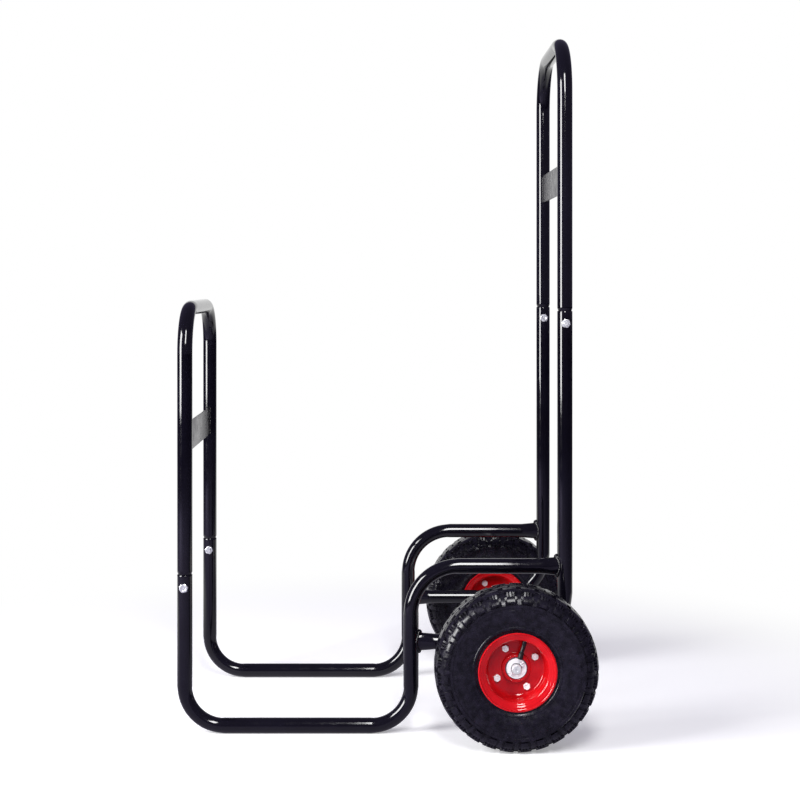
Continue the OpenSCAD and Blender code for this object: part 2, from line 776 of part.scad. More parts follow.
module left_deck_tube() { color(paint_black) side_placed(-1) deck_tube(); }
module right_deck_tube() { color(paint_black) side_placed(1) deck_tube(); }
module left_rear_tube() { color(paint_black) side_placed(-1) rear_tube(); }
module right_rear_tube() { color(paint_black) side_placed(1) rear_tube(); }
module front_bow() { color(paint_black) bow(front_x, front_seam_z, front_bar_z, front_bow_bend); }
module handle_bow() { color(paint_black) bow(rear_x, rear_seam_z, handle_bar_z, handle_bow_bend); }
module front_plate() { color(paint_black) cross_plate(front_x, front_plate_z); }
module handle_plate() { color(paint_black) cross_plate(rear_x, handle_plate_z); }
module left_frame_welds() { color(paint_black) side_placed(-1) frame_welds(); }
module right_frame_welds() { color(paint_black) side_placed(1) frame_welds(); }
module axle_welds() { color(paint_black) axle_weld_pools(); }
module plate_welds() {
    color(paint_black) {
        cross_plate_welds(front_x, front_plate_z, 1);
        cross_plate_welds(rear_x, handle_plate_z, -1);
    }
}
module front_joint_bolts() { color(zinc) joint_bolts(front_x, front_seam_z - bolt_drop, 1); }
module front_joint_nuts() { color(zinc) joint_nuts(front_x, front_seam_z - bolt_drop, 1); }
module handle_joint_bolts() { color(zinc) joint_bolts(rear_x, rear_seam_z - bolt_drop, -1); }
module handle_joint_nuts() { color(zinc) joint_nuts(rear_x, rear_seam_z - bolt_drop, -1); }
module axle() { color(steel) axle_rod(); }
module left_spacer() { color(steel) at_wheel(-1) spacer(); }
module right_spacer() { color(steel) at_wheel(1) spacer(); }
module left_inner_washer() { color(zinc) at_wheel(-1) washer(inner_washer_at); }
module right_inner_washer() { color(zinc) at_wheel(1) washer(inner_washer_at); }
module left_outer_washer() { color(zinc) at_wheel(-1) washer(outer_washer_at); }
module right_outer_washer() { color(zinc) at_wheel(1) washer(outer_washer_at); }
module left_cotter_pin() { color(zinc) at_wheel(-1) cotter_pin(); }
module right_cotter_pin() { color(zinc) at_wheel(1) cotter_pin(); }
module left_tyre() { color(rubber_black) at_wheel(-1) wheel_tyre(); }
module right_tyre() { color(rubber_black) at_wheel(1) wheel_tyre(); }
module left_inner_tube() { color(rubber_black) at_wheel(-1) wheel_inner_tube(); }
module right_inner_tube() { color(rubber_black) at_wheel(1) wheel_inner_tube(); }
module left_outer_rim() { color(rim_red) at_wheel(-1) wheel_outer_rim(); }
module right_outer_rim() { color(rim_red) at_wheel(1) wheel_outer_rim(); }
module left_inner_rim() { color(rim_red) at_wheel(-1) wheel_inner_rim(); }
module right_inner_rim() { color(rim_red) at_wheel(1) wheel_inner_rim(); }
module left_hub() { color(rim_red) at_wheel(-1) wheel_hub(); }
module right_hub() { color(rim_red) at_wheel(1) wheel_hub(); }
module left_outer_bearing() { color(steel) at_wheel(-1) bearing(hub_out - bearing_sink - bearing_w); }
module right_outer_bearing() { color(steel) at_wheel(1) bearing(hub_out - bearing_sink - bearing_w); }
module left_inner_bearing() { color(steel) at_wheel(-1) bearing(hub_in + bearing_sink); }
module right_inner_bearing() { color(steel) at_wheel(1) bearing(hub_in + bearing_sink); }
module left_rim_bolts() { color(zinc) at_wheel(-1) wheel_rim_bolts(); }
module right_rim_bolts() { color(zinc) at_wheel(1) wheel_rim_bolts(); }
module left_rim_nuts() { color(zinc) at_wheel(-1) wheel_rim_nuts(); }
module right_rim_nuts() { color(zinc) at_wheel(1) wheel_rim_nuts(); }
module left_valve_stem() { color(rubber_black) at_wheel(-1) wheel_valve_stem(); }
module right_valve_stem() { color(rubber_black) at_wheel(1) wheel_valve_stem(); }
module left_valve_cap() { color(rubber_black) at_wheel(-1) wheel_valve_cap(); }
module right_valve_cap() { color(rubber_black) at_wheel(1) wheel_valve_cap(); }

left_deck_tube();
right_deck_tube();
left_rear_tube();
right_rear_tube();
front_bow();
handle_bow();
front_plate();
handle_plate();
left_frame_welds();
right_frame_welds();
axle_welds();
plate_welds();
front_joint_bolts();
front_joint_nuts();
handle_joint_bolts();
handle_joint_nuts();
axle();
left_spacer();
right_spacer();
left_inner_washer();
right_inner_washer();
left_outer_washer();
right_outer_washer();
left_cotter_pin();
right_cotter_pin();
left_tyre();
right_tyre();
left_inner_tube();
right_inner_tube();
left_outer_rim();
right_outer_rim();
left_inner_rim();
right_inner_rim();
left_hub();
right_hub();
left_outer_bearing();
right_outer_bearing();
left_inner_bearing();
right_inner_bearing();
left_rim_bolts();
right_rim_bolts();
left_rim_nuts();
right_rim_nuts();
left_valve_stem();
right_valve_stem();
left_valve_cap();
right_valve_cap();
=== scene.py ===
import bpy
import bmesh
from math import atan2, ceil, cos, hypot, pi, radians, sin, sqrt
from mathutils import Matrix, Vector


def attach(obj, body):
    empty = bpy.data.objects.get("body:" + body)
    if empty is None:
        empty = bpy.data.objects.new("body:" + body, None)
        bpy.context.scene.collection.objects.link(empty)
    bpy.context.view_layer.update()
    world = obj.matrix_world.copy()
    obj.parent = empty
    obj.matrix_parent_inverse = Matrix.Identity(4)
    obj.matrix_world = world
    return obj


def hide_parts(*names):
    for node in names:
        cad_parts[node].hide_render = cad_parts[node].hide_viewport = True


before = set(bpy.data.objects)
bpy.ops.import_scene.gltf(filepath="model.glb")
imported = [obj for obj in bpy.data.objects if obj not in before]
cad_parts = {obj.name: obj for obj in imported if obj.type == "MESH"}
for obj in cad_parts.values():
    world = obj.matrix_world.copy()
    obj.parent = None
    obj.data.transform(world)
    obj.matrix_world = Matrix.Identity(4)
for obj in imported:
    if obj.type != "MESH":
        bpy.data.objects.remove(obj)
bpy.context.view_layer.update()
print("frame loaded:", len(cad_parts), "nodes")


def linear(code, alpha=1.0):  # an sRGB hex colour as linear light
    parts = [int(code[i:i + 2], 16) / 255 for i in (1, 3, 5)]
    return tuple(c / 12.92 if c <= 0.04045 else ((c + 0.055) / 1.055) ** 2.4 for c in parts) + (alpha,)


def addNode(tree, kind, inputs=None, **settings):
    node = tree.nodes.new(kind)
    for name, value in settings.items():
        setattr(node, name, value)
    for name, value in (inputs or {}).items():
        if isinstance(value, bpy.types.NodeSocket):
            tree.links.new(value, node.inputs[name])
        else:
            node.inputs[name].default_value = value
    return node


shot = {"at": (0.007, -2.584, 0.747), "lens": 66.05, "sensor": 36.0,
        "shiftX": 0.01475, "shiftY": -0.1516}
cameraData = bpy.data.cameras.new("photoCamera")
cameraData.lens = shot["lens"]
cameraData.sensor_width = shot["sensor"]
cameraData.shift_x = shot["shiftX"]
cameraData.shift_y = shot["shiftY"]
cameraData.clip_end = 60
camera = bpy.data.objects.new("photoCamera", cameraData)
camera.location = shot["at"]
camera.rotation_euler = (radians(90), 0, 0)
bpy.context.scene.collection.objects.link(camera)
bpy.context.scene.camera = camera
bpy.context.scene.view_settings.view_transform = "Standard"

lamps = [  # in metres; size is width and height, glow is the radiance of the lamp's face
    {"name": "sideStrip", "at": (-2.35, -1.35, 1.30), "aim": (0.0, 0.0, 1.12), "size": (1.15, 2.0),
     "glow": 18},
    {"name": "frontBox", "at": (0.16, -1.80, 1.76), "aim": (0.15, 0.0, 0.28), "size": (0.44, 1.15),
     "glow": 21},
]
for lamp in lamps:
    data = bpy.data.lights.new(lamp["name"], "AREA")
    data.shape = "RECTANGLE"
    data.size, data.size_y = lamp["size"]
    data.energy = lamp["glow"] * pi * lamp["size"][0] * lamp["size"][1]
    box = bpy.data.objects.new(lamp["name"], data)
    box.location = lamp["at"]
    box.rotation_euler = (Vector(lamp["aim"]) - Vector(lamp["at"])).to_track_quat("-Z", "Y").to_euler()
    bpy.context.scene.collection.objects.link(box)

studio = {
    "around": "#5f5973",  # the dim room on the camera's side
    "behind": "#ffffff",  # the backdrop behind the rack
    "core": 0.94, "edge": 0.88,  # a direction's share of +Y that meets the backdrop in full, or just
}
world = bpy.data.worlds.new("studio")
bpy.context.scene.world = world
world.use_nodes = True
sky = world.node_tree
sky.nodes.clear()
ways = addNode(sky, "ShaderNodeTexCoord")
split = addNode(sky, "ShaderNodeSeparateXYZ", {"Vector": ways.outputs["Generated"]})
behind = addNode(sky, "ShaderNodeMapRange", {  # the pale backdrop stands behind the rack, towards +Y
    "Value": split.outputs["Y"], "From Min": studio["edge"], "From Max": studio["core"]},
    interpolation_type="SMOOTHSTEP")
eye = addNode(sky, "ShaderNodeLightPath").outputs["Is Camera Ray"]
backdrop = addNode(sky, "ShaderNodeMath", {0: behind.outputs["Result"], 1: eye}, operation="MAXIMUM")
wall = addNode(sky, "ShaderNodeMix", {
    0: backdrop.outputs[0], 6: linear(studio["around"]), 7: linear(studio["behind"])},
    data_type="RGBA")
glow = addNode(sky, "ShaderNodeBackground", {"Color": wall.outputs[2], "Strength": 1.0})
addNode(sky, "ShaderNodeOutputWorld", {"Surface": glow.outputs["Background"]})


def makeFinish(name, slot, base, roughness, metallic=0.0, **more):  # a material and its slot
    material = bpy.data.materials.new(name)
    material.use_nodes = True
    tree = material.node_tree
    tree.nodes.clear()
    shader = addNode(tree, "ShaderNodeBsdfPrincipled", {
        "Base Color": linear(base), "Roughness": roughness, "Metallic": metallic, **more})
    addNode(tree, "ShaderNodeOutputMaterial", {"Surface": shader.outputs["BSDF"]})
    where = addNode(tree, "ShaderNodeTexCoord").outputs["Object"]
    return {"material": material, "slot": slot, "tree": tree, "shader": shader, "where": where}


def grain(made, size, detail=2.0, rough=0.5, stretch=None):  # noise with grains of size millimetres
    where = made["where"]
    if stretch:
        mapped = addNode(made["tree"], "ShaderNodeMapping", {"Vector": where, "Scale": stretch})
        where = mapped.outputs["Vector"]
    noise = addNode(made["tree"], "ShaderNodeTexNoise", {
        "Vector": where, "Scale": 1000 / size, "Detail": detail, "Roughness": rough})
    return noise.outputs["Fac"]


def spread(made, value, low, high, start=0.35, stop=0.65):  # noise turned into a range of values
    return addNode(made["tree"], "ShaderNodeMapRange", {
        "Value": value, "From Min": start, "From Max": stop, "To Min": low, "To Max": high},
    ).outputs["Result"]


def tint(made, value, first, second):  # two colours mixed by a value
    return addNode(made["tree"], "ShaderNodeMix", {
        0: value, 6: linear(first), 7: linear(second)}, data_type="RGBA").outputs[2]


def relief(made, height, depth, over=None):  # bump of depth millimetres
    inputs = {"Height": height, "Distance": depth / 1000, "Strength": 1.0}
    if over:
        inputs["Normal"] = over
    return addNode(made["tree"], "ShaderNodeBump", inputs).outputs["Normal"]


def feed(made, **sockets):  # links values to the shader
    names = {"colour": "Base Color", "roughness": "Roughness", "normal": "Normal"}
    for key, value in sockets.items():
        made["tree"].links.new(value, made["shader"].inputs[names[key]])


# Stoved gloss enamel, dipped and baked: deep black with a violet cast, a faint orange peel and
# sharp highlights
blackEnamel = makeFinish("blackEnamel", "frame_paint", "#07060d", 0.07, IOR=1.55)
feed(blackEnamel,
     colour=tint(blackEnamel, spread(blackEnamel, grain(blackEnamel, 70, 4), 0, 1),
                 "#06050b", "#0a0911"),
     roughness=spread(blackEnamel, grain(blackEnamel, 18, 3), 0.06, 0.11),
     normal=relief(blackEnamel, grain(blackEnamel, 24, 1), 0.02))

# The same enamel on flat strip: thinner and duller, so its broad faces look like grey satin
plateEnamel = makeFinish("plateEnamel", "frame_paint", "#131217", 0.2, IOR=1.5,
                         **{"Specular Tint": linear("#f7e9ff")})
feed(plateEnamel,
     roughness=spread(plateEnamel, grain(plateEnamel, 16, 3), 0.24, 0.34),
     normal=relief(plateEnamel, grain(plateEnamel, 3.2, 1), 0.006,
                   relief(plateEnamel, grain(plateEnamel, 40, 1), 0.05)))

# Weld metal under the same enamel: rounder, a little duller where the paint ran thin
weldEnamel = makeFinish("weldEnamel", "frame_paint", "#0a090d", 0.1, IOR=1.5)
feed(weldEnamel,
     roughness=spread(weldEnamel, grain(weldEnamel, 3, 2), 0.05, 0.14),
     normal=relief(weldEnamel, grain(weldEnamel, 1.6, 2), 0.04))

# Red enamel over pressed steel: bright, wet gloss, drawing marks telegraph faintly through it
redEnamel = makeFinish("redEnamel", "rim_enamel", "#b90f17", 0.08, IOR=1.5)
feed(redEnamel,
     colour=tint(redEnamel, spread(redEnamel, grain(redEnamel, 26, 3), 0, 1), "#b20b12", "#c31219"),
     roughness=spread(redEnamel, grain(redEnamel, 9, 3), 0.05, 0.11),
     normal=relief(redEnamel, grain(redEnamel, 2.6, 1), 0.006,
                   relief(redEnamel, grain(redEnamel, 17, 1), 0.04)))

# Bright zinc plate on cold-formed steel: bluish white, fine barrel-plating scuffs
zincPlate = makeFinish("zincPlate", "zinc_plate", "#f0f1f5", 0.32, 0.75)
feed(zincPlate,
     colour=tint(zincPlate, spread(zincPlate, grain(zincPlate, 5, 4), 0, 1), "#e4e6ea", "#f8f9fb"),
     roughness=spread(zincPlate, grain(zincPlate, 1.4, 4, 0.7), 0.24, 0.40),
     normal=relief(zincPlate, grain(zincPlate, 0.9, 3), 0.006))

# The same plating with a pale passivated bloom: it scatters more than it mirrors and reads near white
zincBloom = makeFinish("zincBloom", "zinc_plate", "#fafafb", 0.42, 0.08)
feed(zincBloom,
     colour=tint(zincBloom, spread(zincBloom, grain(zincBloom, 4, 4), 0, 1), "#f4f3f6", "#fdfdfe"),
     roughness=spread(zincBloom, grain(zincBloom, 1.4, 4, 0.7), 0.32, 0.52),
     normal=relief(zincBloom, grain(zincBloom, 0.9, 3), 0.01))

# Drawn bar, faced in the lathe: greyer than the plated parts, with drawing lines along it
drawnSteel = makeFinish("drawnSteel", "axle_steel", "#dddcdd", 0.5, 0.35)
feed(drawnSteel,
     colour=tint(drawnSteel, spread(drawnSteel, grain(drawnSteel, 8, 4), 0, 1), "#c3c4c8", "#dedfe2"),
     roughness=spread(drawnSteel, grain(drawnSteel, 1.2, 4), 0.28, 0.46),
     normal=relief(drawnSteel, grain(drawnSteel, 0.8, 3, 0.5, (1, 0.04, 1)), 0.02))

# Bearing rings and pressed shields: satin, slightly darker, thin film of grease
bearingSteel = makeFinish("bearingSteel", "bearing_steel", "#9fa0a4", 0.3, 1.0)
feed(bearingSteel,
     roughness=spread(bearingSteel, grain(bearingSteel, 2, 3), 0.22, 0.4),
     normal=relief(bearingSteel, grain(bearingSteel, 0.8, 2), 0.01))

# Moulded tyre rubber: near black with a cold cast, satin from the mould, its bloom takes the edge off
# the gloss and leaves it a little mottled
tyreRubber = makeFinish("tyreRubber", "tyre_rubber", "#0c0b0f", 0.24, IOR=1.52,
                        **{"Specular IOR Level": 0.36})
feed(tyreRubber,
     colour=tint(tyreRubber, spread(tyreRubber, grain(tyreRubber, 11, 5, 0.65), 0, 1, 0.38, 0.7),
                 "#0a090f", "#1d1a26"),
     roughness=spread(tyreRubber, grain(tyreRubber, 6, 4), 0.17, 0.32),
     normal=relief(tyreRubber, grain(tyreRubber, 0.9, 3, 0.6), 0.02,
                   relief(tyreRubber, grain(tyreRubber, 8, 3), 0.07)))

# Extruded valve rubber: blacker and smoother than the tyre
valveRubber = makeFinish("valveRubber", "valve_rubber", "#0f0f11", 0.34, IOR=1.52)
feed(valveRubber,
     roughness=spread(valveRubber, grain(valveRubber, 4, 3), 0.26, 0.42),
     normal=relief(valveRubber, grain(valveRubber, 1.2, 2), 0.01))

# Injection-moulded cap: black polypropylene with a fine spark-eroded texture
capPlastic = makeFinish("capPlastic", "cap_plastic", "#111113", 0.36, IOR=1.49)
feed(capPlastic,
     roughness=spread(capPlastic, grain(capPlastic, 3, 3), 0.3, 0.44),
     normal=relief(capPlastic, grain(capPlastic, 0.5, 2), 0.008))
print("finishes made")


ground = {  # lengths in metres
    "size": 40.0, "paper": "#f4f4f5",
    "near": 0.5, "far": 1.2,  # distance from the rack over which the paper turns plain white
    "lift": 0.32,  # white that the paper adds where the rack shades it
    "dim": "#665e7c", "calm": 0.92,  # painted shade: the darker violet tone of the paper in front that gloss mirrors, and its share
    "front": -0.45, "back": 0.15,  # Y over which the mirrored paper turns white
    "inner": 0.95, "outer": 1.45, "widening": 0.36,  # half width of its white part, which grows with Y
}
floorMesh = bmesh.new()
bmesh.ops.create_grid(floorMesh, x_segments=8, y_segments=8, size=ground["size"] / 2)
floorData = bpy.data.meshes.new("studioFloor")
floorMesh.to_mesh(floorData)
floorMesh.free()
studioFloor = bpy.data.objects.new("studioFloor", floorData)
bpy.context.scene.collection.objects.link(studioFloor)
# Matt seamless paper: it takes a soft shadow near the rack and runs out to plain white around it
paper = bpy.data.materials.new("backgroundPaper")
paper.use_nodes = True
sheet = paper.node_tree
sheet.nodes.clear()


def combine(tree, operation, first, second):
    return addNode(tree, "ShaderNodeMath", {0: first, 1: second}, operation=operation).outputs[0]


rays = addNode(sheet, "ShaderNodeLightPath").outputs
place = addNode(sheet, "ShaderNodeTexCoord").outputs["Object"]
axes = addNode(sheet, "ShaderNodeSeparateXYZ", {"Vector": place}).outputs
away = addNode(sheet, "ShaderNodeVectorMath", {0: place}, operation="LENGTH").outputs["Value"]
fade = addNode(sheet, "ShaderNodeMapRange", {
    "Value": away, "From Min": ground["near"], "From Max": ground["far"]},
    interpolation_type="SMOOTHSTEP").outputs["Result"]
behindRack = addNode(sheet, "ShaderNodeMapRange", {
    "Value": axes["Y"], "From Min": ground["front"], "From Max": ground["back"]},
    interpolation_type="SMOOTHSTEP").outputs["Result"]
aside = combine(sheet, "SUBTRACT", combine(sheet, "ABSOLUTE", axes["X"], 0.0),
                combine(sheet, "MULTIPLY", axes["Y"], ground["widening"]))
between = addNode(sheet, "ShaderNodeMapRange", {
    "Value": aside, "From Min": ground["outer"], "From Max": ground["inner"]}).outputs["Result"]
mirrored = combine(sheet, "MAXIMUM", rays["Is Glossy Ray"], rays["Is Transmission Ray"])
backdrop = combine(sheet, "MULTIPLY", mirrored, combine(sheet, "MULTIPLY", behindRack, between))
seen = combine(sheet, "MAXIMUM", rays["Is Camera Ray"], backdrop)
white = combine(sheet, "MULTIPLY", seen, fade)
lift = combine(sheet, "MULTIPLY", seen, ground["lift"])
# painted shade: the share of the darker tone that gloss rays see in place of the paper
paintedShade = combine(sheet, "MULTIPLY", rays["Is Glossy Ray"], ground["calm"])
tone = addNode(sheet, "ShaderNodeMix", {  # painted shade: the enamel mirrors the floor in front of the rack darker and violet, as if the studio were dim
    0: paintedShade, 6: linear(ground["paper"]), 7: linear(ground["dim"])}, data_type="RGBA").outputs[2]
matt = addNode(sheet, "ShaderNodeBsdfDiffuse", {"Color": tone}).outputs[0]
shine = addNode(sheet, "ShaderNodeEmission", {"Color": (1, 1, 1, 1), "Strength": lift}).outputs[0]
both = addNode(sheet, "ShaderNodeAddShader", {0: matt, 1: shine}).outputs[0]
blank = addNode(sheet, "ShaderNodeEmission", {"Color": (1, 1, 1, 1), "Strength": 1.0}).outputs[0]
blend = addNode(sheet, "ShaderNodeMixShader", {0: white, 1: both, 2: blank}).outputs[0]
addNode(sheet, "ShaderNodeOutputMaterial", {"Surface": blend})
floorData.materials.append(paper)


def ringOf(bm, made):  # the edges of a ring that an operator has just returned
    return [g for g in made if isinstance(g, bmesh.types.BMEdge)]


def startRing(bm, radius, matrix, segments):  # the first ring of a tube
    made = bmesh.ops.create_circle(bm, cap_ends=False, segments=segments, radius=radius, matrix=matrix)
    return list({e for v in made["verts"] for e in v.link_edges})


def growRing(bm, edges, matrix):  # extrudes a ring and places the new one
    made = bmesh.ops.extrude_edge_only(bm, edges=edges)["geom"]
    verts = [g for g in made if isinstance(g, bmesh.types.BMVert)]
    bmesh.ops.transform(bm, matrix=matrix, verts=verts)
    return ringOf(bm, made)


def startPen(bm, at, along, radius, segments=40):  # a pen that draws a tube, ring by ring
    turn = along.to_track_quat("Z", "X").to_matrix().to_4x4()
    edges = startRing(bm, radius, Matrix.Translation(at) @ turn, segments)
    return {"bm": bm, "at": at.copy(), "along": along.copy(), "edges": edges,
            "radius": radius, "flat": 1.0}


def rescale(pen, scale):  # scales the newest ring about its centre
    verts = list({v for e in pen["edges"] for v in e.verts})
    there = Matrix.Translation(pen["at"])
    bmesh.ops.transform(pen["bm"], matrix=there @ scale @ there.inverted(), verts=verts)


def reshape(pen, axis, factor):  # scales it along one axis only
    rescale(pen, Matrix.Scale(factor, 4, axis))


def run(pen, length, radius=None):  # straight on, to a new radius where one is given
    near = 2.0  # a ring this close to both ends keeps the shading of a long straight even
    for step in (near, length - 2 * near, near) if length > 4 * near else (length,):
        pen["edges"] = growRing(pen["bm"], pen["edges"], Matrix.Translation(pen["along"] * step))
        pen["at"] += pen["along"] * step
    if radius:
        rescale(pen, Matrix.Scale(radius / pen["radius"], 4))
        pen["radius"] = radius


def bend(pen, normal, angle, radius, steps=18, flat=0.955, nick=3.0):
    # a rotary draw bend: the tube is a little oval inside it, and the die leaves a nick at each end
    inward = normal.cross(pen["along"]) * (1 if angle > 0 else -1)
    centre = pen["at"] + inward * radius
    step = Matrix.Translation(centre) @ Matrix.Rotation(radians(angle) / steps, 4, normal) \
        @ Matrix.Translation(-centre)
    lead = nick / (radius * abs(radians(angle)) / steps)  # steps over which the oval sets in
    for i in range(1, steps + 1):
        pen["edges"] = growRing(pen["bm"], pen["edges"], step)
        pen["at"] = step @ pen["at"]
        pen["along"] = step.to_3x3() @ pen["along"]
        near = min(i, steps - i) / lead
        goal = 1 - (1 - flat) * min(1.0, near)
        reshape(pen, normal.cross(pen["along"]), goal / pen["flat"])
        pen["flat"] = goal


def turned(outline, steps=64, closed=True, segments=4):
    # a lathe shape: outline points are (radius, height, rounding), the rounding may be left out
    bm = bmesh.new()
    verts = [bm.verts.new((p[0], 0, p[1])) for p in outline]
    for a, b in zip(verts, verts[1:] + (verts[:1] if closed else [])):
        bm.edges.new((a, b))
    for vert, point in zip(verts, outline):
        if len(point) > 2:
            bmesh.ops.bevel(bm, geom=[vert], offset=point[2], segments=segments, profile=0.5,
                            affect="VERTICES", material=-1)
    bmesh.ops.spin(bm, geom=bm.verts[:] + bm.edges[:], cent=(0, 0, 0), axis=(0, 0, 1),
                   angle=2 * pi, steps=steps, use_merge=True)
    bmesh.ops.remove_doubles(bm, verts=bm.verts[:], dist=1e-4)
    bmesh.ops.recalc_face_normals(bm, faces=bm.faces[:])
    return bm


def hexagonal(bm, across):  # cuts six flats on a lathe shape
    for i in range(6):
        side = Matrix.Rotation(radians(60 * i), 3, "Z") @ Vector((1, 0, 0))
        cut = bmesh.ops.bisect_plane(bm, geom=bm.verts[:] + bm.edges[:] + bm.faces[:], dist=1e-5,
                                     plane_co=side * across / 2, plane_no=side, clear_outer=True)
        bmesh.ops.holes_fill(bm, edges=ringOf(bm, cut["geom_cut"]))
    return bm


def wire(points, radii, closed=False, segments=3):  # a round bar through points, with a radius at each
    line = bpy.data.curves.new("wire", "CURVE")
    line.dimensions = "3D"
    line.bevel_depth = 1.0
    line.bevel_resolution = segments
    line.use_fill_caps = not closed
    spline = line.splines.new("POLY")
    spline.points.add(len(points) - 1)
    for knot, at, radius in zip(spline.points, points, radii):
        knot.co = (*at, 1)
        knot.radius = radius
    spline.use_cyclic_u = closed
    holder = bpy.data.objects.new("wire", line)
    mesh = bpy.data.meshes.new_from_object(holder)
    bm = bmesh.new()
    bm.from_mesh(mesh)
    bpy.data.objects.remove(holder)
    bpy.data.curves.remove(line)
    bpy.data.meshes.remove(mesh)
    return bm


def addTo(whole, part, matrix=Matrix(), keep=False):  # puts a shape into a larger one
    mesh = bpy.data.meshes.new("part")
    part.to_mesh(mesh)
    mesh.transform(matrix)
    if matrix.is_negative:
        mesh.flip_normals()
    whole.from_mesh(mesh)
    bpy.data.meshes.remove(mesh)
    if not keep:
        part.free()


def makePiece(name, body, bm, look, nodes, matrix=Matrix(), sharp=30, tidy=True):  # sharp in degrees
    if tidy:
        bmesh.ops.remove_doubles(bm, verts=bm.verts[:], dist=1e-4)
        bmesh.ops.recalc_face_normals(bm, faces=bm.faces[:])
    mesh = bpy.data.meshes.new(name)
    bm.to_mesh(mesh)
    bm.free()
    mesh.transform(Matrix.Scale(0.001, 4) @ matrix)
    if matrix.is_negative:
        mesh.flip_normals()
    mesh.materials.append(look["material"])
    mesh.shade_smooth()
    mesh.set_sharp_from_angle(angle=radians(sharp))
    piece = bpy.data.objects.new(name, mesh)
    bpy.context.scene.collection.objects.link(piece)
    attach(piece, body)
    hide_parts(*nodes)
    return piece


sides = {"left": -1, "right": 1}


def toSide(side):  # moves a shape that is drawn in the middle plane to a side frame
    return Matrix.Translation((0, side * rack["sideY"], 0))


rack = {
    "tube": 12.5, "bore": 11.0,  # radii of the tube
    "sideY": 170.0,  # middle plane of a side frame
    "frontX": -327.5, "stepX": 44.5, "rearX": 297.5,  # front uprights, step legs, rear uprights
    "railZ": 12.5, "barZ": 274.5, "lowBarZ": 150.5,  # floor rail, upper and lower side bar
    "frontSeam": 261.0, "rearSeam": 694.0,  # heights of the socket mouths
}
deck = {"floorBend": 65.0, "stepBend": 78.0}  # radii of the tube's middle line
rear = {"bend": 80.0}
socket = {"lip": 0.5, "depth": 9.0, "play": 0.05, "flare": 0.35}
pressed = {"length": 28.0, "tall": 1.2, "wide": 0.68, "steps": 9,  # the factors at its very end
           "sink": 3.6}  # how far it runs on into the weld
axisX, axisY, axisZ = Vector((1, 0, 0)), Vector((0, 1, 0)), Vector((0, 0, 1))


def socketMouth(bm, at, along):  # a rolled edge, from the bore out to the tube's outside
    pen = startPen(bm, at + along * socket["depth"], -along, rack["bore"] + socket["play"])
    run(pen, socket["depth"] - socket["lip"])
    run(pen, socket["lip"], rack["bore"] + socket["flare"])
    pen["along"] = along.copy()
    run(pen, 0, rack["tube"] - socket["lip"])
    run(pen, socket["lip"], rack["tube"])
    return pen


def pressEnd(pen, tallAxis, wideAxis):  # the bar's end is pressed narrower and taller towards its weld
    tall = wide = 1.0
    for i in range(1, pressed["steps"] + 1):
        run(pen, pressed["length"] / pressed["steps"])
        t = i / pressed["steps"]
        ease = t * t * (3 - 2 * t)
        newTall = 1 + (pressed["tall"] - 1) * t
        newWide = 1 + (pressed["wide"] - 1) * ease
        reshape(pen, tallAxis, newTall / tall)
        reshape(pen, wideAxis, newWide / wide)
        tall, wide = newTall, newWide
    run(pen, pressed["sink"])


for name, side in sides.items():
    bm = bmesh.new()
    pen = socketMouth(bm, Vector((rack["frontX"], 0, rack["frontSeam"])), -axisZ)
    run(pen, rack["frontSeam"] - socket["lip"] - rack["railZ"] - deck["floorBend"])
    bend(pen, axisY, -90, deck["floorBend"])
    run(pen, rack["stepX"] - rack["frontX"] - 2 * deck["floorBend"])
    bend(pen, axisY, -90, deck["floorBend"])
    run(pen, rack["barZ"] - rack["railZ"] - deck["floorBend"] - deck["stepBend"])
    bend(pen, axisY, 90, deck["stepBend"])
    run(pen, rack["rearX"] - rack["stepX"] - deck["stepBend"] - rack["tube"] - pressed["length"])
    pressEnd(pen, axisZ, axisY)
    makePiece(name + "DeckTube", "frame", bm, blackEnamel, [name + "_deck_tube"], toSide(side),
              sharp=50)

    bm = bmesh.new()
    pen = socketMouth(bm, Vector((rack["rearX"], 0, rack["rearSeam"])), -axisZ)
    run(pen, rack["rearSeam"] - socket["lip"] - rack["lowBarZ"] - rear["bend"])
    bend(pen, axisY, 90, rear["bend"])
    run(pen, rack["rearX"] - rack["stepX"] - rear["bend"] - rack["tube"] - pressed["length"])
    pressEnd(pen, axisZ, axisY)
    makePiece(name + "RearTube", "frame", bm, blackEnamel, [name + "_rear_tube"], toSide(side),
              sharp=50)

bows = {
    "front": {"x": rack["frontX"], "seam": rack["frontSeam"], "bar": 697.5, "bend": 72.0},
    "handle": {"x": rack["rearX"], "seam": rack["rearSeam"], "bar": 1142.5, "bend": 88.0},
}
# A swaged end starts below the socket's mouth, and its shoulder eases in and out
neck = {"radius": 10.9, "depth": 8.0, "shoulder": 5.0,
        "hidden": 7.4, "easeIn": 1.4, "slope": 3.4, "easeOut": 0.8, "start": 0.25, "finish": 0.2}
for name, bow in bows.items():
    bm = bmesh.new()
    foot = Vector((bow["x"], -rack["sideY"], bow["seam"] - neck["depth"]))
    pen = startPen(bm, foot, axisZ, neck["radius"])
    leg = bow["bar"] - bow["bend"] - bow["seam"] - neck["shoulder"]
    run(pen, neck["hidden"])
    run(pen, neck["easeIn"], neck["radius"] + neck["start"])
    run(pen, neck["slope"], rack["tube"] - neck["finish"])
    run(pen, neck["easeOut"], rack["tube"])
    run(pen, leg)
    bend(pen, axisX, -90, bow["bend"])
    run(pen, 2 * (rack["sideY"] - bow["bend"]))
    bend(pen, axisX, -90, bow["bend"])
    run(pen, leg)
    run(pen, neck["easeOut"], rack["tube"] - neck["finish"])
    run(pen, neck["slope"], neck["radius"] + neck["start"])
    run(pen, neck["easeIn"], neck["radius"])
    run(pen, neck["hidden"])
    makePiece(name + "Bow", "frame", bm, blackEnamel, [name + "_bow"], sharp=50)
print("frame tubes bent")


